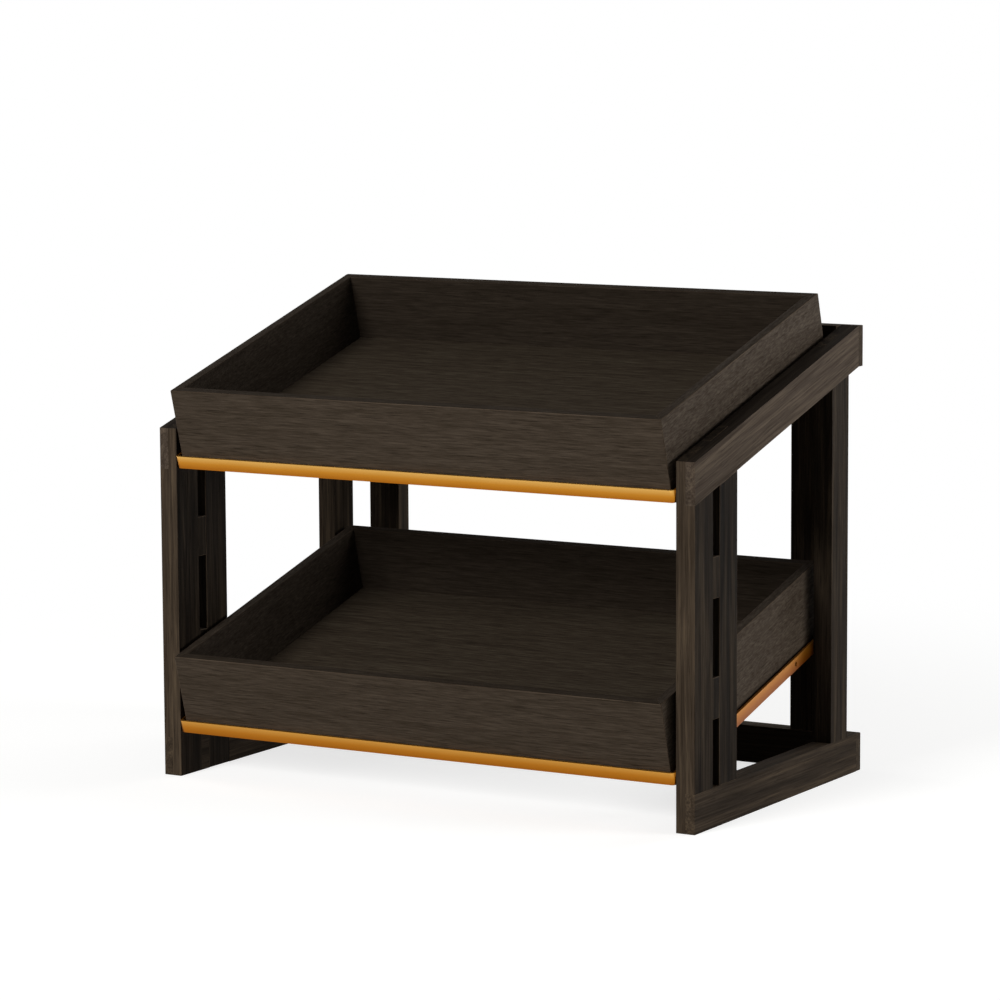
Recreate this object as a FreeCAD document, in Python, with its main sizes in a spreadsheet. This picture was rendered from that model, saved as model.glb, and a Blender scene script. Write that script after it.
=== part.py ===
import FreeCAD, Part
import os
import Sketcher

# Tiered display stand: two slatted end frames, a back frame, two tilted angle-bar supports
# and two loose wooden trays. Millimetres, +Z up, the front looks along -Y.

SIZES = {
    # slope of the top rails, the supports and the trays, in degrees
    "tilt": 15.8,
    # trays
    "tray_width": 530,
    "tray_depth": 328,
    "tray_height": 76,
    "tray_wall": 10,
    "floor_thickness": 6,
    "floor_raise": 5,
    "groove_depth": 5,
    "floor_play": 0.5,
    "tray_side_gap": 3.5,
    "tray_front_gap": 1.5,
    "tray_back_gap": 2,
    # angle-bar supports
    "lip_height": 12,
    "lip_thickness": 2.5,
    "flange_width": 14,
    "flange_thickness": 2.5,
    "corner_radius": 5,
    "lower_support_rise": 6.5,
    "upper_support_rise": 1.5,
    "support_back_gap": 2.2,
    # end frames
    "board": 19,
    "front_height": 338.5,
    "lath_width": 35,
    "slot_width": 13,
    "spacer_height": 38.5,
    "lower_spacer_level": 99.7,
    "upper_spacer_level": 210.3,
    "back_post_width": 35,
    "back_gap": 12,
    "base_rail_height": 37,
    "top_rail_height": 38,
    # back frame
    "stile_width": 35,
    "stile_inset": 13,
    "tenon_length": 12,
    "tenon_thickness": 8,
    "tenon_shoulder": 5,
    "tenon_end_gap": 1,
    # flat-headed screws that hold the supports
    "screw_diameter": 3.5,
    "screw_head_diameter": 6,
    "screw_head_height": 1.2,
    "screw_end_wood": 1.5,
    "screw_clearance": 0.3,
    "rail_screw_gap": 37,
    # cap screws that hold the back frame
    "cap_screw_diameter": 4.5,
    "cap_head_diameter": 8,
    "cap_head_height": 4,
    "cap_screw_end_wood": 3.5,
    "cap_clearance": 0.3,
}

DERIVED = {
    "slope": "tan(Sizes.tilt)",
    "lean": "sin(Sizes.tilt)",
    "run": "cos(Sizes.tilt)",
    "half_board": "Sizes.board / 2",
    "rail_drop": "Sizes.top_rail_height / cos(Sizes.tilt)",
    "inner_half": "Sizes.tray_width / 2 + Sizes.tray_side_gap + Sizes.lip_thickness",
    "outer_half": "Derived.inner_half + Sizes.board",
    "tray_start": "Sizes.lip_thickness + Sizes.tray_front_gap",
    "support_length": "Derived.tray_start + Sizes.tray_depth + Sizes.tray_back_gap + Sizes.lip_thickness",
    "lower_support_level": "Sizes.base_rail_height + Sizes.lower_support_rise",
    "upper_support_level": "Sizes.front_height - Derived.rail_drop + Sizes.upper_support_rise",
    "back_front": "Derived.support_length * Derived.run + Sizes.support_back_gap",
    "lap_line": "Derived.back_front + Derived.half_board",
    "stand_depth": "Derived.back_front + Sizes.board",
    "post_depth": "2 * Sizes.lath_width + Sizes.slot_width",
    "post_rear": "Derived.back_front - Sizes.back_gap",
    "post_front": "Derived.post_rear - Sizes.back_post_width",
    "cross_top": "Sizes.front_height + Derived.lap_line * Derived.slope",
    "cross_low": "Derived.cross_top - Derived.rail_drop",
    "tray_overhang": "(Sizes.flange_thickness + Sizes.tray_height) * Derived.lean"
                     " - Derived.tray_start * Derived.run",
    "front_plane": "(Derived.tray_overhang - Derived.stand_depth) / 2",
    "screw_rise": "Sizes.lip_height / 2 / Derived.run",
    "lath_screw_reach": "Sizes.lath_width / 2",
    "post_screw_reach": "(Derived.post_front + Derived.post_rear) / 2",
    "rail_screw_reach": "Derived.post_front - Sizes.rail_screw_gap",
    "screw_hole_radius": "Sizes.screw_diameter / 2 + Sizes.screw_clearance",
    "screw_bite": "Derived.half_board - Sizes.screw_end_wood",
    "cap_hole_radius": "Sizes.cap_screw_diameter / 2 + Sizes.cap_clearance",
    "cap_screw_bite": "Sizes.back_gap + Derived.half_board - Sizes.cap_screw_end_wood",
}

LEVELS = {"lower": "Derived.lower_support_level", "upper": "Derived.upper_support_level"}
SIDES = {"left": -1, "right": 1}
# level of the underside of each cross rail, and its height, which is that of the rail ends in front of it
CROSS_RAILS = {"bottom": ("0", "Sizes.base_rail_height"), "top": ("Derived.cross_low", "Derived.rail_drop")}
# how far behind the front faces the supports are screwed to the front lath, the top rail and the back post
SCREW_REACHES = ["Derived.lath_screw_reach", "Derived.rail_screw_reach", "Derived.post_screw_reach"]

doc = FreeCAD.newDocument("tiered_display_stand")

sheet = doc.addObject("Spreadsheet::Sheet", "Sizes")
for row, (alias, value) in enumerate(SIZES.items(), start=1):
    sheet.set(f"A{row}", alias)
    sheet.set(f"B{row}", str(value))
    sheet.setAlias(f"B{row}", alias)
doc.recompute()

derived = doc.addObject("App::VarSet", "Derived")
for alias, formula in DERIVED.items():
    derived.addProperty("App::PropertyFloat", alias, "Derived")
    derived.setExpression(alias, formula)
    doc.recompute()

sub_parts = []


def number(expression):
    return float(derived.evalExpression(expression))


def place(thing, x="0", y="0", z="0", axis=None, angle=None):
    """Bind where a sub-part stands, and its turn about an axis, to expressions."""
    if axis:
        thing.Placement = FreeCAD.Placement(FreeCAD.Vector(), FreeCAD.Rotation(axis, number(angle)))
        thing.setExpression("Placement.Rotation.Angle", f"({angle}) * 1 deg")
    for name, expression in (("x", x), ("y", y), ("z", z)):
        thing.setExpression(f"Placement.Base.{name}", expression)


def new_body(label):
    body = doc.addObject("PartDesign::Body", label)
    body.Label = label
    return body


def sketch_on(body, role, offset="0"):
    """Sketch on one of the body's own origin planes, shifted along the plane's normal."""
    plane = next(f for f in body.Origin.OriginFeatures if f.Role == role)
    sketch = body.newObject("Sketcher::SketchObject", f"{body.Name}_sketch")
    sketch.AttachmentSupport = [(plane, "")]
    sketch.MapMode = "FlatFace"
    sketch.setExpression("AttachmentOffset.Base.z", offset)
    return sketch


def bind(sketch, kind, *where, value):
    index = sketch.addConstraint(Sketcher.Constraint(kind, *where, number(value)))
    sketch.setExpression(f"Constraints[{index}]", value)


def draw(sketch, points):
    """Close an outline through points (x, y); (x, y, radius, centre x, centre y) starts an arc."""
    spots = [FreeCAD.Vector(number(p[0]), number(p[1]), 0) for p in points]
    starts = []
    for i, point in enumerate(points):
        here, there = spots[i], spots[(i + 1) % len(points)]
        if len(point) == 2:
            index = sketch.addGeometry(Part.LineSegment(here, there))
        else:
            centre = FreeCAD.Vector(number(point[3]), number(point[4]), 0)
            middle = centre + ((here + there) * 0.5 - centre).normalize() * number(point[2])
            index = sketch.addGeometry(Part.Arc(here, middle, there))
        begins = (sketch.getPoint(index, 1) - here).Length < (sketch.getPoint(index, 2) - here).Length
        starts.append((index, 1 if begins else 2))
    for i, (index, start) in enumerate(starts):
        following = starts[(i + 1) % len(starts)]
        sketch.addConstraint(Sketcher.Constraint("Coincident", index, 3 - start, *following))
        bind(sketch, "DistanceX", -1, 1, index, start, value=points[i][0])
        bind(sketch, "DistanceY", -1, 1, index, start, value=points[i][1])
        if len(points[i]) > 2:
            bind(sketch, "Radius", index, value=points[i][2])


def draw_circle(sketch, x, y, radius):
    centre = FreeCAD.Vector(number(x), number(y), 0)
    index = sketch.addGeometry(Part.Circle(centre, FreeCAD.Vector(0, 0, 1), number(radius)))
    bind(sketch, "DistanceX", -1, 1, index, 3, value=x)
    bind(sketch, "DistanceY", -1, 1, index, 3, value=y)
    bind(sketch, "Radius", index, value=radius)


def extrude(body, kind, sketch, length, backwards):
    feature = body.newObject(f"PartDesign::{kind}", f"{body.Name}_{kind.lower()}")
    feature.Profile = sketch
    feature.Reversed = backwards
    feature.setExpression("Length", length)
    sketch.Visibility = False
    doc.recompute()


def pad(body, sketch, length, backwards=False):
    extrude(body, "Pad", sketch, length, backwards)


def pocket(body, sketch, length, backwards=False):
    """Cut a sketch out of the body; a cut that removes nothing is an error."""
    before = body.Shape.Volume
    extrude(body, "Pocket", sketch, length, backwards)
    if body.Shape.Volume > before - 1e-3:
        raise RuntimeError(f"{body.Label}: a pocket cut nothing")


def rectangle(x0, x1, y0, y1):
    return [(x0, y0), (x1, y0), (x1, y1), (x0, y1)]


# End frames: boards drawn in the Y-Z plane, from the front faces and the floor, as two half-thick layers


def rail_top(reach):
    return f"(Sizes.front_height + ({reach}) * Derived.slope)"


def rail_low(reach):
    return f"({rail_top(reach)} - Derived.rail_drop)"


def board_layer(body, side, start, thickness, outlines):
    """Pad outlines outwards from the plane that lies start outside the end frame's inner face."""
    sketch = sketch_on(body, "YZ_Plane", f"{side} * ({start})")
    for outline in outlines:
        draw(sketch, outline)
    pad(body, sketch, thickness, backwards=side < 0)


def pilot_holes(body, side, reach, levels):
    """Blind holes in the inner face, in line with the holes of the supports."""
    sketch = sketch_on(body, "YZ_Plane")
    for level in levels:
        rise = f"{level} + {reach} * Derived.slope + Derived.screw_rise"
        draw_circle(sketch, reach, rise, "Derived.screw_hole_radius")
    pocket(body, sketch, "Derived.screw_bite + Sizes.screw_clearance", backwards=side > 0)


def end_frame_body(name, hand, side):
    body = new_body(f"{hand}_{name}")
    place(body, x=f"{side} * Derived.inner_half", y="Derived.front_plane")
    return body


def upright(name, hand, side, front, rear, screw_reach=None):
    """Vertical board: its inner half runs from the floor to the slope, its outer half stops at the rails."""
    body = end_frame_body(name, hand, side)
    tall = [(front, "0"), (rear, "0"), (rear, rail_top(rear)), (front, rail_top(front))]
    foot = "Sizes.base_rail_height"
    short = [(front, foot), (rear, foot), (rear, rail_low(rear)), (front, rail_low(front))]
    board_layer(body, side, "0", "Derived.half_board", [tall])
    board_layer(body, side, "Derived.half_board", "Derived.half_board", [short])
    if screw_reach:
        pilot_holes(body, side, screw_reach, LEVELS.values())
    sub_parts.append(body)


def spacer(name, hand, side, level):
    """Block between the two front laths; the open lengths above and below it are the slots."""
    body = end_frame_body(name, hand, side)
    rear = "Sizes.lath_width + Sizes.slot_width"
    block = rectangle("Sizes.lath_width", rear, level, f"{level} + Sizes.spacer_height")
    board_layer(body, side, "0", "Sizes.board", [block])
    sub_parts.append(body)


def rail(name, hand, side, low, top):
    """Rail lapped over the uprights: whole in its outer half, cut away round them in its inner half."""
    body = end_frame_body(name, hand, side)

    def stretch(front, rear):
        return [(front, low(front)), (rear, low(rear)), (rear, top(rear)), (front, top(front))]

    inner = [stretch("Sizes.lath_width", "Sizes.lath_width + Sizes.slot_width"),
             stretch("Derived.post_depth", "Derived.post_front"),
             stretch("Derived.post_rear", "Derived.lap_line")]
    board_layer(body, side, "Derived.half_board", "Derived.half_board", [stretch("0", "Derived.lap_line")])
    board_layer(body, side, "0", "Derived.half_board", inner)
    return body


def end_hole(body, side, low, height):
    """Hole for a cap screw, in the rear end of a rail, at mid-height of the cross rail behind it."""
    sketch = sketch_on(body, "XZ_Plane", "-Derived.lap_line")
    draw_circle(sketch, f"{side} * Derived.half_board", f"{low} + {height} / 2", "Derived.cap_hole_radius")
    pocket(body, sketch, "Derived.cap_screw_bite + Sizes.cap_clearance", backwards=True)


def end_frame(hand, side):
    upright("front_lath", hand, side, "0", "Sizes.lath_width", "Derived.lath_screw_reach")
    upright("rear_lath", hand, side, "Sizes.lath_width + Sizes.slot_width", "Derived.post_depth")
    upright("back_post", hand, side, "Derived.post_front", "Derived.post_rear", "Derived.post_screw_reach")
    spacer("lower_spacer", hand, side, "Sizes.lower_spacer_level")
    spacer("upper_spacer", hand, side, "Sizes.upper_spacer_level")
    base = rail("base_rail", hand, side, lambda reach: "0", lambda reach: "Sizes.base_rail_height")
    end_hole(base, side, *CROSS_RAILS["bottom"])
    sub_parts.append(base)
    top = rail("top_rail", hand, side, rail_low, rail_top)
    pilot_holes(top, side, "Derived.rail_screw_reach", [LEVELS["upper"]])
    end_hole(top, side, *CROSS_RAILS["top"])
    sub_parts.append(top)


# Back frame: cross rails with rabbeted ends behind the end frames, and two stiles with stub tenons


def stile_centre(side):
    return f"{side} * (Derived.inner_half - Sizes.stile_inset - Sizes.stile_width / 2)"


def tenon_outline(side):
    x = stile_centre(side)
    half = "(Sizes.stile_width / 2 - Sizes.tenon_shoulder)"
    near = "(Sizes.board - Sizes.tenon_thickness) / 2"
    return rectangle(f"{x} - {half}", f"{x} + {half}", near, f"{near} + Sizes.tenon_thickness")


def back_body(label, level):
    body = new_body(label)
    place(body, y="Derived.front_plane + Derived.back_front", z=level)
    return body


def cross_rail(name, low, height):
    body = back_body(f"{name}_cross_rail", low)
    mortise_up = name == "bottom"
    plan = [("-Derived.inner_half", "0"), ("Derived.inner_half", "0"),
            ("Derived.inner_half", "Derived.half_board"), ("Derived.outer_half", "Derived.half_board"),
            ("Derived.outer_half", "Sizes.board"), ("-Derived.outer_half", "Sizes.board"),
            ("-Derived.outer_half", "Derived.half_board"), ("-Derived.inner_half", "Derived.half_board")]
    sketch = sketch_on(body, "XY_Plane")
    draw(sketch, plan)
    pad(body, sketch, height)
    sketch = sketch_on(body, "XY_Plane", height if mortise_up else "0")
    for side in SIDES.values():
        draw(sketch, tenon_outline(side))
    pocket(body, sketch, "Sizes.tenon_length + Sizes.tenon_end_gap", backwards=not mortise_up)
    bores = (("Derived.cap_hole_radius", "Derived.half_board"),
             ("Sizes.cap_head_diameter / 2 + Sizes.cap_clearance", "Sizes.cap_head_height"))
    for radius, depth in bores:
        sketch = sketch_on(body, "XZ_Plane", "-Sizes.board")
        for side in SIDES.values():
            x = f"{side} * (Derived.inner_half + Derived.half_board)"
            draw_circle(sketch, x, f"{height} / 2", radius)
        pocket(body, sketch, depth, backwards=True)
    sub_parts.append(body)


def stile(hand, side):
    body = back_body(f"{hand}_stile", "Sizes.base_rail_height")
    x, half = stile_centre(side), "Sizes.stile_width / 2"
    length = "Derived.cross_low - Sizes.base_rail_height"
    sketch = sketch_on(body, "XY_Plane")
    draw(sketch, rectangle(f"{x} - {half}", f"{x} + {half}", "0", "Sizes.board"))
    pad(body, sketch, length)
    for offset, downwards in (("0", True), (length, False)):
        sketch = sketch_on(body, "XY_Plane", offset)
        draw(sketch, tenon_outline(side))
        pad(body, sketch, "Sizes.tenon_length", backwards=downwards)
    sub_parts.append(body)


# Supports and trays: drawn flat from their front edge, then tilted onto the slope


def on_slope(thing, level, along="0", off="0"):
    """Stand a flat-drawn piece on the slope whose front edge lies at a level."""
    y = f"Derived.front_plane + {along} * Derived.run - {off} * Derived.lean"
    z = f"{level} + {along} * Derived.lean + {off} * Derived.run"
    place(thing, y=y, z=z, axis=FreeCAD.Vector(1, 0, 0), angle="Sizes.tilt")


def edge_span(edge, half, depth):
    return (f"-{half}", half) if edge in ("front", "back") else ("0", depth)


def edge_point(edge, half, depth, along, across):
    """Plan position of a point given along one edge of a rectangle and inwards from that edge."""
    spots = {"front": (along, across), "back": (along, f"{depth} - ({across})"),
             "left": (f"{across} - {half}", along), "right": (f"{half} - ({across})", along)}
    return spots[edge]


def edge_plan(edge, half, depth, points):
    plan = []
    for point in points:
        spot = edge_point(edge, half, depth, *point[:2])
        if len(point) > 2:
            spot += (point[2], *edge_point(edge, half, depth, *point[3:]))
        plan.append(spot)
    return plan


def mitred_strip(low, high, near, far):
    """Strip between two distances from an edge, its ends cut at 45 degrees."""
    return [(f"{low} + {near}", near), (f"{high} - {near}", near),
            (f"{high} - {far}", far), (f"{low} + {far}", far)]


def rounded_strip(low, high, width, rounded_inside):
    """Strip along an edge with rounded outer corners, each cut off at the mitre."""
    outer = "Sizes.corner_radius"
    inner = f"({outer} - {width})"
    low_end, high_end = f"{low} + {outer}", f"{high} - {outer}"

    def at_mitre(end, inwards, radius):
        cut = f"({outer} - {radius} * cos(45))"
        return f"{end} {inwards} {cut}", cut

    points = [(low_end, "0"), (high_end, "0", outer, high_end, outer), at_mitre(high, "-", outer)]
    if rounded_inside:
        points += [(*at_mitre(high, "-", inner), inner, high_end, outer), (high_end, width),
                   (low_end, width, inner, low_end, outer), at_mitre(low, "+", inner)]
    else:
        points += [(f"{high} - {width}", width), (f"{low} + {width}", width)]
    return points + [(*at_mitre(low, "+", outer), outer, low_end, outer)]


def support_bar(tier, edge):
    """Angle bar: a flat flange under the tray and a lip outside it."""
    body = new_body(f"{tier}_support_{edge}")
    on_slope(body, LEVELS[tier])
    half, depth = "Derived.inner_half", "Derived.support_length"
    span = edge_span(edge, half, depth)
    for width, height, rounded_inside in (("Sizes.flange_width", "Sizes.flange_thickness", False),
                                          ("Sizes.lip_thickness", "Sizes.lip_height", True)):
        sketch = sketch_on(body, "XY_Plane")
        draw(sketch, edge_plan(edge, half, depth, rounded_strip(*span, width, rounded_inside)))
        pad(body, sketch, height)
    if edge in SIDES:
        side = SIDES[edge]
        sketch = sketch_on(body, "YZ_Plane", f"{side} * {half}")
        for reach in SCREW_REACHES:
            along = f"({reach} + Sizes.lip_height / 2 * Derived.lean) / Derived.run"
            draw_circle(sketch, along, "Sizes.lip_height / 2", "Derived.screw_hole_radius")
        pocket(body, sketch, "Sizes.lip_thickness", backwards=side < 0)
    sub_parts.append(body)


def tray_wall(tier, edge):
    """Mitred wall with a groove for the floor panel in its inner face."""
    body = new_body(f"{tier}_tray_{edge}")
    on_slope(body, LEVELS[tier], "Derived.tray_start", "Sizes.flange_thickness")
    half, depth = "(Sizes.tray_width / 2)", "Sizes.tray_depth"
    span = edge_span(edge, half, depth)
    sketch = sketch_on(body, "XY_Plane")
    draw(sketch, edge_plan(edge, half, depth, mitred_strip(*span, "0", "Sizes.tray_wall")))
    pad(body, sketch, "Sizes.tray_height")
    sketch = sketch_on(body, "XY_Plane", "Sizes.floor_raise + Sizes.floor_thickness")
    groove = mitred_strip(*span, "(Sizes.tray_wall - Sizes.groove_depth)", "Sizes.tray_wall")
    draw(sketch, edge_plan(edge, half, depth, groove))
    pocket(body, sketch, "Sizes.floor_thickness")
    sub_parts.append(body)


def tray_floor(tier):
    body = new_body(f"{tier}_tray_floor")
    on_slope(body, LEVELS[tier], "Derived.tray_start", "Sizes.flange_thickness")
    edge = "(Sizes.tray_wall - Sizes.groove_depth + Sizes.floor_play)"
    half = f"(Sizes.tray_width / 2 - {edge})"
    sketch = sketch_on(body, "XY_Plane", "Sizes.floor_raise")
    draw(sketch, rectangle(f"-{half}", half, edge, f"Sizes.tray_depth - {edge}"))
    pad(body, sketch, "Sizes.floor_thickness")
    sub_parts.append(body)


# Screws: turned pieces, gathered in one group of separate solids for each use


def turned(label, outline):
    """Revolve an outline of (radius, distance along the axis) about the Z axis."""
    body = new_body(label)
    sketch = sketch_on(body, "XZ_Plane")
    draw(sketch, outline)
    feature = body.newObject("PartDesign::Revolution", f"{label}_revolution")
    feature.Profile = sketch
    feature.ReferenceAxis = (sketch, ["V_Axis"])
    feature.Angle = 360
    sketch.Visibility = False
    return body


def screw(label, diameter, head_diameter, head_height, grip):
    """Screw with a flat head below the axis origin, a plain shank and a pointed tip."""
    shank, head = f"{diameter} / 2", f"{head_diameter} / 2"
    return turned(label, [("0", f"-{head_height}"), (head, f"-{head_height}"), (head, "0"), (shank, "0"),
                          (shank, f"{grip} - {shank}"), ("0", grip)])


def group(label, pieces):
    thing = doc.addObject("Part::Compound", label)
    thing.Label = label
    thing.Links = pieces
    sub_parts.append(thing)


def support_screws(tier, reaches):
    """Screws from inside the lips into the end frames."""
    pieces = []
    grip = "(Sizes.lip_thickness + Derived.screw_bite)"
    for hand, side in SIDES.items():
        for count, reach in enumerate(reaches, start=1):
            piece = screw(f"{tier}_{hand}_screw_{count}", "Sizes.screw_diameter", "Sizes.screw_head_diameter",
                          "Sizes.screw_head_height", grip)
            place(piece, x=f"{side} * (Derived.inner_half - Sizes.lip_thickness)",
                  y=f"Derived.front_plane + {reach}",
                  z=f"{LEVELS[tier]} + {reach} * Derived.slope + Derived.screw_rise",
                  axis=FreeCAD.Vector(0, side, 0), angle="90")
            pieces.append(piece)
    group(f"{tier}_support_screws", pieces)


def back_frame_screws():
    """Cap screws through the cross rails' thin ends into the rear ends of the end rails."""
    pieces = []
    grip = "(Derived.half_board - Sizes.cap_head_height + Derived.cap_screw_bite)"
    for name, (low, height) in CROSS_RAILS.items():
        for hand, side in SIDES.items():
            piece = screw(f"{name}_{hand}_cap_screw", "Sizes.cap_screw_diameter", "Sizes.cap_head_diameter",
                          "Sizes.cap_head_height", grip)
            place(piece, x=f"{side} * (Derived.inner_half + Derived.half_board)",
                  y="Derived.front_plane + Derived.stand_depth - Sizes.cap_head_height",
                  z=f"{low} + {height} / 2", axis=FreeCAD.Vector(1, 0, 0), angle="90")
            pieces.append(piece)
    group("back_frame_screws", pieces)


def write_parts():
    doc.recompute()
    for thing in doc.Objects:
        if "Invalid" in thing.State or "Error" in thing.State:
            raise RuntimeError(f"{thing.Label} failed: {thing.State}")
    for thing in sub_parts:
        if thing.Shape.isNull() or not thing.Shape.isValid():
            raise RuntimeError(f"{thing.Label} has a bad shape")
    os.makedirs("parts", exist_ok=True)
    for thing in sub_parts:
        thing.Shape.exportStep(f"parts/{thing.Label}.step")


for hand, side in SIDES.items():
    end_frame(hand, side)
    stile(hand, side)
for name, span in CROSS_RAILS.items():
    cross_rail(name, *span)
back_frame_screws()
for tier in LEVELS:
    for edge in ("front", "back", "left", "right"):
        support_bar(tier, edge)
        tray_wall(tier, edge)
    tray_floor(tier)
support_screws("lower", [SCREW_REACHES[0], SCREW_REACHES[2]])
support_screws("upper", SCREW_REACHES)

write_parts()
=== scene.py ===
import math
from collections import namedtuple

import bmesh
import bpy
from mathutils import Matrix, Vector


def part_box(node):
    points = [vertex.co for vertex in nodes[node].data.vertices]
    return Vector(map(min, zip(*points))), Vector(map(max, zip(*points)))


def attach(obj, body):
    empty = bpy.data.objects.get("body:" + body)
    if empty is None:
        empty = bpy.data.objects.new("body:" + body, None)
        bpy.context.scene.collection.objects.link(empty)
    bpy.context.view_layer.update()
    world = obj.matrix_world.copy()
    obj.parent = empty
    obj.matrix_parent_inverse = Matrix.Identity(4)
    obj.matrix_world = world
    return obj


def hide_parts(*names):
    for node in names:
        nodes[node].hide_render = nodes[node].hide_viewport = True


# Tiered display stand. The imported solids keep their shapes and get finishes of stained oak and
# satin gold, and the screws are drawn again with their drive recesses.

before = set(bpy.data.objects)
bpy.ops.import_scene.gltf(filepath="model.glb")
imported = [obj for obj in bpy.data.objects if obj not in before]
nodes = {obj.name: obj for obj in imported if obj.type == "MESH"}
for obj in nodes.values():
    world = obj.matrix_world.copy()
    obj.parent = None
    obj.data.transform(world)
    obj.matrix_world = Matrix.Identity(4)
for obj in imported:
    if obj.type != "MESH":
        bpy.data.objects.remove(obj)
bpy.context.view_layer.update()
scene = bpy.context.scene

TIERS = ("lower", "upper")
HANDS = ("left", "right")
QUARTER_TURN = math.radians(90)

# Trays, supports and top rails all lean back by the same angle
TILT = math.radians(15.8)
FRONTWARDS = Vector((0, -1, 0))
BACKWARDS = Vector((0, 1, 0))
UP_SLOPE = Vector((0, math.cos(TILT), math.sin(TILT)))
OFF_SLOPE = Vector((0, -math.sin(TILT), math.cos(TILT)))

# Outer lip of a support bar, in metres
LIP_HEIGHT = 0.012
LIP_THICKNESS = 0.0025

lath_low, lath_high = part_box("right_front_lath")
post_low, post_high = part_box("right_back_post")
front = lath_low.y


def linear(code):
    """sRGB hex colour to the linear colour that shaders take."""
    parts = [int(code[i:i + 2], 16) / 255 for i in (1, 3, 5)]
    return (*[c / 12.92 if c <= 0.04045 else ((c + 0.055) / 1.055) ** 2.4 for c in parts], 1.0)


def add(tree, kind, inputs=None, stops=(), **settings):
    """Add a node with its settings and colour stops, and link or set its inputs.

    Inputs go by identifier or name. A socket given as the value is linked.
    """
    node = tree.nodes.new(kind)
    for name, value in settings.items():
        setattr(node, name, value)
    for i, (position, colour) in enumerate(stops):
        points = node.color_ramp.elements
        point = points[i] if i < len(points) else points.new(position)
        point.position, point.color = position, colour
    for name, value in (inputs or {}).items():
        socket = next(s for s in node.inputs if name in (s.identifier, s.name))
        if isinstance(value, bpy.types.NodeSocket):
            tree.links.new(value, socket)
        else:
            socket.default_value = value
    return node


def new_material(name):
    """Material with an empty node tree."""
    material = bpy.data.materials.new(name)
    material.use_nodes = True
    tree = material.node_tree
    tree.nodes.clear()
    return material, tree


# Finishes of wood and metal


# How each run of grain is turned to the X axis
GRAIN_TURN = {
    "across": (0, 0, 0),
    "upright": (0, QUARTER_TURN, 0),
    "along": (0, 0, -QUARTER_TURN),
    "sloped": (-TILT, 0, -QUARTER_TURN),
}

# How far apart two boards may lie in the pattern, in metres
BOARD_SHIFT = (1.7, 0.9, 2.3)


def grain_space(tree, run, length_mm, width_mm):
    """Coordinates with X along the grain, in units of one streak, shifted for each board."""
    place = add(tree, "ShaderNodeTexCoord").outputs["Object"]
    board = add(tree, "ShaderNodeObjectInfo").outputs["Random"]
    shift = add(tree, "ShaderNodeVectorMath", {"Vector": BOARD_SHIFT, "Scale": board},
                operation="SCALE")
    turned = add(tree, "ShaderNodeMapping", {"Vector": place, "Rotation": GRAIN_TURN[run]})
    moved = add(tree, "ShaderNodeVectorMath",
                {"Vector": turned.outputs[0], "Vector_001": shift.outputs[0]})
    streaks_per_metre = (1000 / length_mm, 1000 / width_mm, 1000 / width_mm)
    return add(tree, "ShaderNodeVectorMath",
               {"Vector": moved.outputs[0], "Vector_001": streaks_per_metre},
               operation="MULTIPLY").outputs[0]


# Length and width of streaks and fibres, in mm, and how much of the tone comes from the streaks.
# Fibres and pores are drawn about twice as coarse as real ones, so that they show in the render.
Grain = namedtuple("Grain", "streak_mm fibre_mm streak_share")
BOARD_GRAIN = Grain((260, 8), (70, 1.8), 0.5)
UPRIGHT_GRAIN = Grain((140, 7), (70, 1.8), 0.5)
TOP_RAIL_GRAIN = Grain((180, 7), (70, 1.8), 0.5)
TRAY_GRAIN = Grain((120, 6), (24, 1.3), 0.3)
TRAY_SIDE_GRAIN = Grain((40, 6), (7, 1.7), 0.35)
PORE_MM = (22, 0.9)
PORE_COLOUR = "#17110c"
BRUSHED_DEPTH = 0.0004

# Painted shade by face direction: faces that look along the direction keep one share of the
# brightness and the others another, so the faces that get less light are painted darker. The
# contrast is how far the streaks of the darker faces stand out.
FaceShade = namedtuple("FaceShade", "direction facing others contrast", defaults=(0.0,))


def paint_face_shade(tree, colour, streaks, face_shade):
    """The colour, painted darker on some faces by the direction they look: painted shade."""
    normal = add(tree, "ShaderNodeTexCoord").outputs["Normal"]
    facing = add(tree, "ShaderNodeVectorMath", {"Vector": normal, "Vector_001": face_shade.direction},
                 operation="DOT_PRODUCT").outputs["Value"]
    share = add(tree, "ShaderNodeMapRange",
                {"Value": facing, "From Min": 0.3, "From Max": 0.65,
                 "To Min": face_shade.others, "To Max": face_shade.facing})
    depth = add(tree, "ShaderNodeMapRange",
                {"Value": share.outputs[0], "To Min": face_shade.contrast, "To Max": 0.0})
    streak = add(tree, "ShaderNodeMath", {"Value": streaks, "Value_001": 0.5},
                 operation="SUBTRACT")
    swing = add(tree, "ShaderNodeMath",
                {"Value": streak.outputs[0], "Value_001": depth.outputs[0], "Value_002": 1.0},
                operation="MULTIPLY_ADD")
    level = add(tree, "ShaderNodeMath",
                {"Value": share.outputs[0], "Value_001": swing.outputs[0]},
                operation="MULTIPLY", use_clamp=True)
    return add(tree, "ShaderNodeVectorMath", {"Vector": colour, "Scale": level.outputs[0]},
               operation="SCALE").outputs[0]


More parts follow.
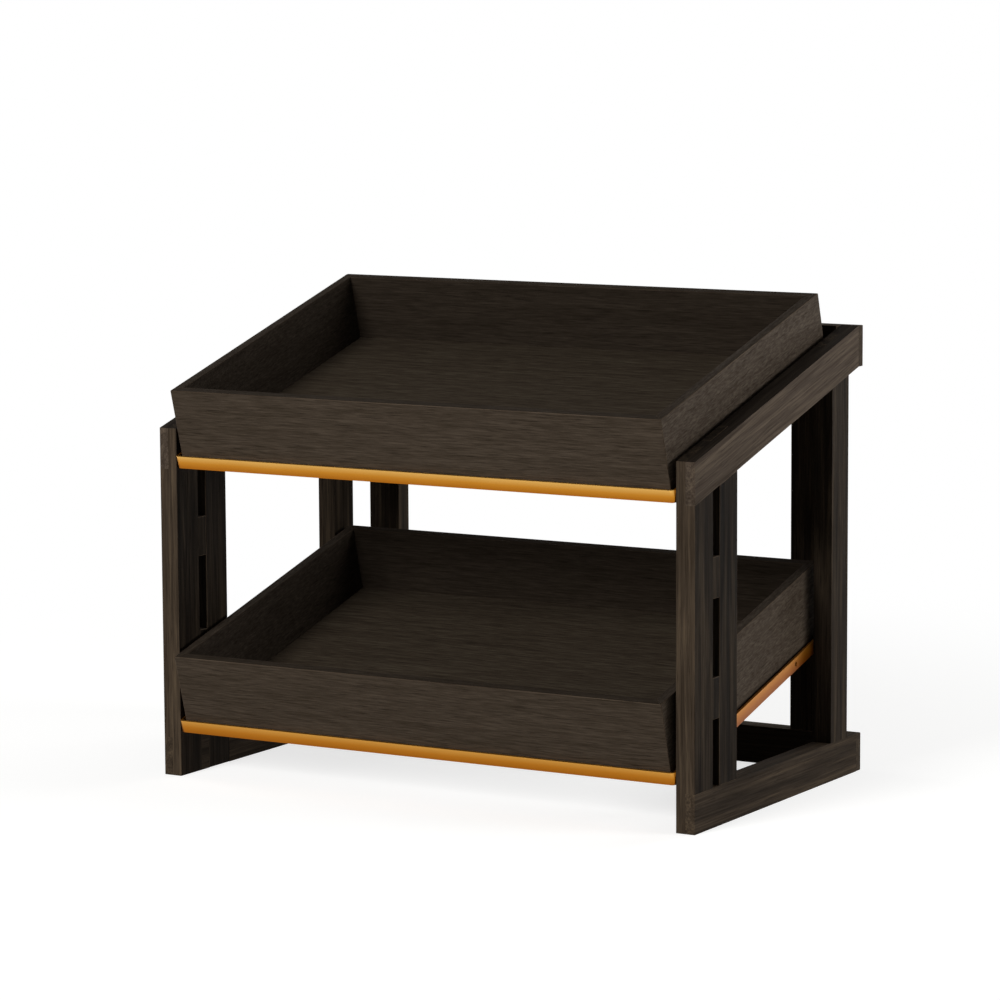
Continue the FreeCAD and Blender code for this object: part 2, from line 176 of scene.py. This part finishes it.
def stained_oak(name, run, tones, face_shade=None, grain=BOARD_GRAIN):
    """Oak, planed and brushed, under a dark water stain and matt oil: streaks of lighter and darker
    stain, fine near-black pores and almost no sheen. Where a face shade is given, some faces are
    painted darker by their direction as painted shade."""
    material, tree = new_material(name)
    dark, middle, light = [linear(tone) for tone in tones]
    streaks = add(tree, "ShaderNodeTexNoise",
                  {"Vector": grain_space(tree, run, *grain.streak_mm), "Scale": 1.0,
                   "Detail": 3.0, "Roughness": 0.5, "Distortion": 0.7}).outputs["Fac"]
    fibres = add(tree, "ShaderNodeTexNoise",
                 {"Vector": grain_space(tree, run, *grain.fibre_mm), "Scale": 1.0,
                  "Detail": 4.0, "Roughness": 0.65}).outputs["Fac"]
    pores = add(tree, "ShaderNodeTexNoise",
                {"Vector": grain_space(tree, run, *PORE_MM), "Scale": 1.0,
                 "Detail": 2.0, "Roughness": 0.5}).outputs["Fac"]
    tone = add(tree, "ShaderNodeMix",
               {"Factor_Float": 1 - grain.streak_share, "A_Float": streaks, "B_Float": fibres},
               data_type="FLOAT")
    stain = add(tree, "ShaderNodeValToRGB", {"Fac": tone.outputs[0]},
                [(0.34, dark), (0.5, middle), (0.66, light)])
    open_pores = add(tree, "ShaderNodeMapRange",
                     {"Value": pores, "From Min": 0.57, "From Max": 0.72, "To Max": 0.55})
    colour = add(tree, "ShaderNodeMix",
                 {"Factor_Float": open_pores.outputs[0], "A_Color": stain.outputs[0],
                  "B_Color": linear(PORE_COLOUR)}, data_type="RGBA").outputs[2]
    if face_shade:
        colour = paint_face_shade(tree, colour, streaks, face_shade)
    sheen = add(tree, "ShaderNodeMapRange",
                {"Value": fibres, "From Min": 0.3, "From Max": 0.7,
                 "To Min": 0.86, "To Max": 0.7})
    relief = add(tree, "ShaderNodeMath", {"Value": fibres, "Value_001": open_pores.outputs[0]},
                 operation="SUBTRACT")
    bump = add(tree, "ShaderNodeBump",
               {"Height": relief.outputs[0], "Strength": 0.35, "Distance": BRUSHED_DEPTH})
    shader = add(tree, "ShaderNodeBsdfPrincipled",
                 {"Base Color": colour, "Roughness": sheen.outputs[0],
                  "Normal": bump.outputs[0], "IOR": 1.45, "Specular IOR Level": 0.03})
    add(tree, "ShaderNodeOutputMaterial", {"Surface": shader.outputs[0]})
    return material


# Fine lines and soft clouds in the gold, length and width in mm. The lines are drawn several
# times as wide as real ones, so that they show in the render.
GOLD_LINE_MM = (60, 0.9)
GOLD_CLOUD_MM = (90, 30)
GOLD_LINE_DEPTH = 0.0002


def satin_gold(name, run, level, tones):
    """Brass-plated steel bar, linished and lacquered: fine lines along the bar spread the highlight
    across it, and the lip is painted paler towards its upper edge and deeper orange towards its
    lower edge, a painted highlight. Level is that of the lowest edge of the support, in metres."""
    material, tree = new_material(name)
    lines = add(tree, "ShaderNodeTexNoise",
                {"Vector": grain_space(tree, run, *GOLD_LINE_MM), "Scale": 1.0,
                 "Detail": 3.0, "Roughness": 0.6}).outputs["Fac"]
    cloud = add(tree, "ShaderNodeTexNoise",
                {"Vector": grain_space(tree, run, *GOLD_CLOUD_MM), "Scale": 1.0,
                 "Detail": 2.0}).outputs["Fac"]
    place = add(tree, "ShaderNodeTexCoord").outputs["Object"]
    rise = add(tree, "ShaderNodeVectorMath", {"Vector": place, "Vector_001": OFF_SLOPE},
               operation="DOT_PRODUCT")
    # Painted highlight: the lip is paler towards its upper edge and deeper orange towards its lower
    # edge
    foot = level * math.cos(TILT) - front * math.sin(TILT)
    height = add(tree, "ShaderNodeMapRange",
                 {"Value": rise.outputs["Value"], "From Min": foot, "From Max": foot + LIP_HEIGHT,
                  "To Min": -0.1, "To Max": 0.9})
    cloud_and_painted_highlight = add(tree, "ShaderNodeMath",
                 {"Value": cloud, "Value_001": 0.2, "Value_002": height.outputs[0]},
                 operation="MULTIPLY_ADD")
    tint = add(tree, "ShaderNodeValToRGB", {"Fac": cloud_and_painted_highlight.outputs[0]},
               [(stop, linear(tone)) for stop, tone in zip((0.1, 0.5, 0.95), tones)])
    rough = add(tree, "ShaderNodeMapRange",
                {"Value": lines, "From Min": 0.3, "From Max": 0.7, "To Min": 0.34, "To Max": 0.46})
    bump = add(tree, "ShaderNodeBump",
               {"Height": lines, "Strength": 0.12, "Distance": GOLD_LINE_DEPTH})
    shader = add(tree, "ShaderNodeBsdfPrincipled",
                 {"Base Color": tint.outputs[0], "Metallic": 1.0,
                  "Roughness": rough.outputs[0], "Normal": bump.outputs[0]})
    add(tree, "ShaderNodeOutputMaterial", {"Surface": shader.outputs[0]})
    return material


# Blotches of about 1.1 mm
BLOTCHES_PER_METRE = 900.0
STEEL_TONES = ("#232324", "#3a3a3c")


def blackened_steel(name):
    """Screw steel, turned and oil-blackened: a dark, slightly blotched metal with a low gloss."""
    material, tree = new_material(name)
    place = add(tree, "ShaderNodeTexCoord").outputs["Object"]
    blotch = add(tree, "ShaderNodeTexNoise",
                 {"Vector": place, "Scale": BLOTCHES_PER_METRE, "Detail": 3.0}).outputs["Fac"]
    tint = add(tree, "ShaderNodeValToRGB", {"Fac": blotch},
               [(stop, linear(tone)) for stop, tone in zip((0.35, 0.65), STEEL_TONES)])
    rough = add(tree, "ShaderNodeMapRange", {"Value": blotch, "To Min": 0.36, "To Max": 0.54})
    shader = add(tree, "ShaderNodeBsdfPrincipled",
                 {"Base Color": tint.outputs[0], "Metallic": 0.9, "Roughness": rough.outputs[0]})
    add(tree, "ShaderNodeOutputMaterial", {"Surface": shader.outputs[0]})
    return material


# Dark, middle and light tone of each finish
UPRIGHT_TONES = ("#2a221a", "#3e342a", "#554839")
CROSS_RAIL_TONES = ("#2b231c", "#3b3229", "#4c4135")
TOP_RAIL_TONES = ("#322921", "#463c33", "#5d5144")
TRAY_TONES = ("#312920", "#3e352c", "#4b4137")
# The tray side walls take lighter tones than the front and back walls: painted light
TRAY_SIDE_TONES = ("#342b23", "#443b32", "#554b41")
# The tray floors take darker tones, partly a darker panel and partly painted shade inside the trays
FLOOR_TONES = ("#2a231c", "#393128", "#474035")
EDGE_TONES = ("#362c23", "#473c31", "#594d40")
# The lower front bar and the side bars take darker tones of the same gold: painted shade
FRONT_GOLD_TONES = {
    "lower": ("#9a5b12", "#ab6c1c", "#c08a3c"),
    "upper": ("#a46316", "#b97b25", "#d0a052"),
}
SIDE_GOLD_TONES = ("#783f06", "#8a500c", "#9e651e")

# Painted shade: the sides of uprights and base rails, the upper edges of top rails and the inner
# faces of the back frame are painted darker than the other faces, where less light falls
front_lath_oak = stained_oak("stained_oak_front_laths", "upright", UPRIGHT_TONES,
                             FaceShade(FRONTWARDS, 1.0, 0.34, contrast=3.4), UPRIGHT_GRAIN)
rear_lath_oak = stained_oak("stained_oak_rear_laths", "upright", UPRIGHT_TONES,
                            FaceShade(BACKWARDS, 0.8, 0.28, contrast=3.2), UPRIGHT_GRAIN)
post_oak = stained_oak("stained_oak_uprights", "upright", UPRIGHT_TONES,
                       FaceShade(BACKWARDS, 1.0, 0.42, contrast=3.4), UPRIGHT_GRAIN)
base_rail_oak = stained_oak("stained_oak_base_rails", "along", UPRIGHT_TONES,
                            FaceShade(FRONTWARDS, 1.0, 0.68, contrast=2.6))
top_rail_oak = stained_oak("stained_oak_top_rails", "sloped", TOP_RAIL_TONES,
                           FaceShade(OFF_SLOPE, 0.2, 1.0), TOP_RAIL_GRAIN)
cross_rail_oak = stained_oak("stained_oak_cross_rails", "across", CROSS_RAIL_TONES,
                             FaceShade(FRONTWARDS, 0.45, 1.0))
# Broken edges take lighter tones
pale_edge_oak = {run: stained_oak(f"stained_oak_lighter_edge_{run}", run, EDGE_TONES)
            for run in GRAIN_TURN}

# Oak and run of the grain of each frame board, by its node's name without the first word
BOARD_FINISH = {
    "front_lath": (front_lath_oak, "upright"),
    "rear_lath": (rear_lath_oak, "upright"),
    "lower_spacer": (rear_lath_oak, "upright"),
    "upper_spacer": (rear_lath_oak, "upright"),
    "back_post": (post_oak, "upright"),
    "stile": (post_oak, "upright"),
    "base_rail": (base_rail_oak, "along"),
    "top_rail": (top_rail_oak, "sloped"),
    "cross_rail": (cross_rail_oak, "across"),
}

# Each tray is painted darker inside and on its rim: painted shade
INWARDS = {
    "front": UP_SLOPE,
    "back": -UP_SLOPE,
    "left": Vector((1, 0, 0)),
    "right": Vector((-1, 0, 0)),
}
tray_oak, pale_edge_tray_oak = {}, {}
for wall, inwards in INWARDS.items():
    inside = FaceShade((inwards + OFF_SLOPE).normalized(), 0.5, 1.0)
    if wall in HANDS:
        run, tones, grain = "sloped", TRAY_SIDE_TONES, TRAY_SIDE_GRAIN
    else:
        run, tones, grain = "across", TRAY_TONES, TRAY_GRAIN
    tray_oak[wall] = stained_oak(f"stained_oak_tray_{wall}", run, tones, inside, grain)
    pale_edge_tray_oak[wall] = stained_oak(f"stained_oak_lighter_tray_edge_{wall}", run, EDGE_TONES,
                                      inside)
floor_oak = stained_oak("stained_oak_tray_floor", "across", FLOOR_TONES, grain=TRAY_GRAIN)

gold = {}
support_level = {tier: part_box(f"{tier}_support_front")[0].z for tier in TIERS}
for tier, level in support_level.items():
    gold[tier, "across"] = satin_gold(f"satin_gold_{tier}_across", "across", level,
                                      FRONT_GOLD_TONES[tier])
    gold[tier, "sloped"] = satin_gold(f"satin_gold_{tier}_sloped", "sloped", level,
                                      SIDE_GOLD_TONES)
screw_steel = blackened_steel("blackened_screw_steel")


# Boards and bars


BROKEN_EDGE_MM = 0.6
FLOOR_EDGE_MM = 0.4
# Corners nearer to each other than this, in metres, are one corner
JOIN_REACH = 0.00002
# Edges that turn by more than this are broken
SHARP_ANGLE = math.radians(50)


def finish_node(name, materials, edge_mm):
    """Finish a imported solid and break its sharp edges, which take the last material."""
    node = nodes[name]
    node.data.materials.clear()
    for material in materials:
        node.data.materials.append(material)
    weld = node.modifiers.new("join_faces", "WELD")
    weld.merge_threshold = JOIN_REACH
    edge = node.modifiers.new("broken_edges", "BEVEL")
    edge.width = edge_mm / 1000
    edge.segments = 2
    edge.limit_method = "ANGLE"
    edge.angle_limit = SHARP_ANGLE
    edge.material = len(materials) - 1
    edge.harden_normals = True
    # without this, corners on flat faces are pulled along the lines between their triangles
    edge.loop_slide = False


for name in nodes:
    first, *_, last = name.split("_")
    if last == "screws":
        continue
    if "support" in name:
        finish_node(name, [gold[first, "sloped" if last in HANDS else "across"]], BROKEN_EDGE_MM)
    elif last == "floor":
        finish_node(name, [floor_oak], FLOOR_EDGE_MM)
    elif "tray" in name:
        finish_node(name, [tray_oak[last], pale_edge_tray_oak[last]], BROKEN_EDGE_MM)
    else:
        oak, run = BOARD_FINISH[name.split("_", 1)[1]]
        finish_node(name, [oak, pale_edge_oak[run]], BROKEN_EDGE_MM)


# Screws: turned heads with a drive recess, in place of the plain ones


# Half the width of a cross recess's arm as a share of its length
CROSS_ARM_SHARE = 0.26


def hexagon(angle, size):
    """Distance from the middle of a hexagon socket to its wall."""
    return size / math.cos((angle + math.pi / 6) % (math.pi / 3) - math.pi / 6)


def cross(angle, size):
    """Distance from the middle of a cross recess to its wall."""
    # a trace is added so that neither is zero
    c, s = abs(math.cos(angle)) + 1e-6, abs(math.sin(angle)) + 1e-6
    half = size * CROSS_ARM_SHARE
    return max(min(size / c, half / s), min(size / s, half / c))


# Sizes in mm; the length is that of the shank below the head
Screw = namedtuple("Screw", "head_radius head_height shank_radius length "
                            "recess recess_size recess_depth")
CAP_SCREW = Screw(4.0, 4.0, 2.25, 23.5, hexagon, 2.0, 2.2)
FLAT_SCREW = Screw(3.0, 1.2, 1.75, 10.5, cross, 1.7, 0.8)
SCREW_SIDES = 48
HEAD_CHAMFER_MM = 0.35
LARGEST_CHAMFER_SHARE = 0.3
# The recess narrows to this share at its floor, and its drill point is this much deeper
RECESS_TAPER = 0.8
DRILL_POINT_SHARE = 1.2


def screw_mesh(mesh, place, screw):
    """One screw from the drill point of its recess, round the head and down the shank, along +Z
    from under the head."""
    top = -screw.head_height
    chamfer = min(HEAD_CHAMFER_MM, screw.head_height * LARGEST_CHAMFER_SHARE)
    # radius, or the share of the recess, and height
    rings = [(None, RECESS_TAPER, top + screw.recess_depth),
             (None, 1.0, top),
             (screw.head_radius - chamfer, None, top),
             (screw.head_radius, None, top + chamfer),
             (screw.head_radius, None, 0),
             (screw.shank_radius, None, 0),
             (screw.shank_radius, None, screw.length - screw.shank_radius)]
    rows = []
    for radius, share, height in rings:
        row = []
        for i in range(SCREW_SIDES):
            angle = 2 * math.pi * i / SCREW_SIDES
            reach = radius or screw.recess(angle, screw.recess_size) * share
            spot = Vector((reach * math.cos(angle), reach * math.sin(angle), height)) / 1000
            row.append(mesh.verts.new(place @ spot))
        rows.append(row)
    for near, far in zip(rows, rows[1:]):
        for i in range(SCREW_SIDES):
            j = (i + 1) % SCREW_SIDES
            mesh.faces.new((near[i], far[i], far[j], near[j]))
    pit = screw.recess_depth * DRILL_POINT_SHARE - screw.head_height
    for row, height in ((rows[0], pit), (rows[-1], screw.length)):
        tip = mesh.verts.new(place @ Vector((0, 0, height / 1000)))
        for i in range(SCREW_SIDES):
            mesh.faces.new((row[i], tip, row[(i + 1) % SCREW_SIDES]))


def link_mesh(name, mesh, material):
    """Turn a finished mesh into an object of the scene."""
    data = bpy.data.meshes.new(name)
    mesh.to_mesh(data)
    mesh.free()
    data.materials.append(material)
    made = bpy.data.objects.new(name, data)
    scene.collection.objects.link(made)
    return made


def screw_set(name, replaced, places, screw):
    """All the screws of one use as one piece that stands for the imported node."""
    mesh = bmesh.new()
    for place in places:
        screw_mesh(mesh, place, screw)
    bmesh.ops.recalc_face_normals(mesh, faces=mesh.faces)
    piece = link_mesh(name, mesh, screw_steel)
    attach(piece, "stand")
    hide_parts(replaced)


cross_rail_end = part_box("bottom_cross_rail")[1]
inner_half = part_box("right_base_rail")[0].x
cap_screw_out = (inner_half + cross_rail_end.x) / 2
cap_head_seat = cross_rail_end.y - CAP_SCREW.head_height / 1000
cap_places = []
for rail in ("bottom_cross_rail", "top_cross_rail"):
    low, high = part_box(rail)
    for side in (-1, 1):
        where = Vector((side * cap_screw_out, cap_head_seat, (low.z + high.z) / 2))
        cap_places.append(Matrix.Translation(where) @ Matrix.Rotation(QUARTER_TURN, 4, "X"))
screw_set("back_frame_cap_screws", "back_frame_screws", cap_places, CAP_SCREW)

# How far behind the front the supports are screwed to the laths, the top rails and the back posts
RAIL_SCREW_GAP = 0.037
lath_reach = (lath_low.y + lath_high.y) / 2 - front
rail_reach = post_low.y - front - RAIL_SCREW_GAP
post_reach = (post_low.y + post_high.y) / 2 - front
screw_reaches = {"lower": (lath_reach, post_reach), "upper": (lath_reach, post_reach, rail_reach)}
for tier, reaches in screw_reaches.items():
    lip_middle = support_level[tier] + LIP_HEIGHT / 2 / math.cos(TILT)
    lip_places = []
    for side in (-1, 1):
        for reach in reaches:
            height = lip_middle + reach * math.tan(TILT)
            where = Vector((side * (inner_half - LIP_THICKNESS), front + reach, height))
            lip_places.append(Matrix.Translation(where)
                              @ Matrix.Rotation(QUARTER_TURN * side, 4, "Y"))
    screw_set(f"{tier}_support_flat_screws", f"{tier}_support_screws", lip_places, FLAT_SCREW)


# Stage: pale floor that fades to white far off, white surroundings, soft studio lamps


FLOOR_HALF = 30.0
FADE_START, FADE_END = 0.4, 1.3
NEAR_GLOW = 0.72
SURROUNDING_LIGHT = 0.05
FLOOR_GREY = "#b4b4b2"
STAND_MIDDLE = Vector((0, 0, 0.25))

# Place and width of each lamp in metres, and its power in watts
SOFTBOXES = {
    "front_softbox": ((-0.5, -3.3, 1.55), 1.4, 108),
    "right_softbox": ((2.75, 0.7, 0.95), 1.2, 39),
    "rear_softbox": ((1.3, 3.0, 0.8), 1.6, 56),
    "left_softbox": ((-3.0, 0.3, 0.5), 1.0, 40),
}


def seen_rays(tree):
    """1 for what is seen directly, in a reflection or through glass, and 0 for other light."""
    ray = add(tree, "ShaderNodeLightPath")
    bounced = add(tree, "ShaderNodeMath",
                  {"Value": ray.outputs["Is Glossy Ray"],
                   "Value_001": ray.outputs["Is Transmission Ray"]}, operation="MAXIMUM")
    return add(tree, "ShaderNodeMath",
               {"Value": ray.outputs["Is Camera Ray"], "Value_001": bounced.outputs[0]},
               operation="MAXIMUM").outputs[0]


def matt_floor_paper():
    """Matt pale studio paper: where it is seen it glows to near white and takes a soft shadow,
    and to other light it is a plain pale grey, so that it doesn't fill the undersides."""
    material, tree = new_material("matt_pale_studio_floor")
    place = add(tree, "ShaderNodeTexCoord").outputs["Object"]
    away = add(tree, "ShaderNodeVectorMath", {"Vector": place}, operation="LENGTH")
    fade = add(tree, "ShaderNodeMapRange",
               {"Value": away.outputs["Value"], "From Min": FADE_START, "From Max": FADE_END},
               interpolation_type="SMOOTHSTEP")
    seen = seen_rays(tree)
    far = add(tree, "ShaderNodeMath", {"Value": fade.outputs[0], "Value_001": seen},
              operation="MULTIPLY")
    near = add(tree, "ShaderNodeMath", {"Value": seen, "Value_001": NEAR_GLOW},
               operation="MULTIPLY")
    matt = add(tree, "ShaderNodeBsdfDiffuse", {"Color": linear(FLOOR_GREY)})
    near_glow = add(tree, "ShaderNodeEmission", {"Strength": near.outputs[0]})
    lit = add(tree, "ShaderNodeAddShader",
              {"Shader": matt.outputs[0], "Shader_001": near_glow.outputs[0]})
    white = add(tree, "ShaderNodeEmission")
    mixed = add(tree, "ShaderNodeMixShader",
                {"Fac": far.outputs[0], "Shader": lit.outputs[0], "Shader_001": white.outputs[0]})
    add(tree, "ShaderNodeOutputMaterial", {"Surface": mixed.outputs[0]})
    return material


def studio_floor():
    """Wide flat floor under the stand."""
    mesh = bmesh.new()
    bmesh.ops.create_grid(mesh, x_segments=4, y_segments=4, size=FLOOR_HALF)
    floor = link_mesh("studio_floor", mesh, matt_floor_paper())


def white_surroundings():
    """White where it is seen, and a faint even light otherwise."""
    world = bpy.data.worlds.new("white_studio")
    scene.world = world
    world.use_nodes = True
    tree = world.node_tree
    tree.nodes.clear()
    level = add(tree, "ShaderNodeMapRange",
                {"Value": seen_rays(tree), "To Min": SURROUNDING_LIGHT, "To Max": 1.0})
    glow = add(tree, "ShaderNodeBackground",
               {"Color": (1, 1, 1, 1), "Strength": level.outputs[0]})
    add(tree, "ShaderNodeOutputWorld", {"Surface": glow.outputs[0]})


def softbox(name, where, width, power):
    """Round soft lamp that faces the stand."""
    data = bpy.data.lights.new(name, "AREA")
    data.shape = "DISK"
    data.size = width
    data.energy = power
    lamp = bpy.data.objects.new(name, data)
    scene.collection.objects.link(lamp)
    lamp.location = where
    lamp.rotation_euler = (STAND_MIDDLE - Vector(where)).to_track_quat("-Z", "Y").to_euler()


studio_floor()
white_surroundings()
for name, (where, width, power) in SOFTBOXES.items():
    softbox(name, where, width, power)


# Camera, as fitted to the edges in the photograph


def photo_camera(where, azimuth, elevation, roll, lens):
    """Camera that looks along azimuth and elevation, in degrees, with a slight roll."""
    a, e, r = math.radians(azimuth), math.radians(elevation), math.radians(roll)
    ahead = Vector((-math.sin(a) * math.cos(e), math.cos(a) * math.cos(e), -math.sin(e)))
    level = Vector((math.cos(a), math.sin(a), 0))
    rise = level.cross(ahead)
    right = level * math.cos(r) + rise * math.sin(r)
    up = rise * math.cos(r) - level * math.sin(r)
    data = bpy.data.cameras.new("photo_camera")
    data.sensor_width = 36
    data.lens = lens
    data.clip_end = 100
    camera = bpy.data.objects.new("photo_camera", data)
    scene.collection.objects.link(camera)
    turned = Matrix((right, up, -ahead)).transposed().to_4x4()
    camera.matrix_world = Matrix.Translation(where) @ turned
    scene.camera = camera


photo_camera(where=(2.0129, front - 3.2723, 0.7973), azimuth=30.46, elevation=7.58, roll=-0.31,
             lens=150.55)
scene.view_settings.view_transform = "Standard"
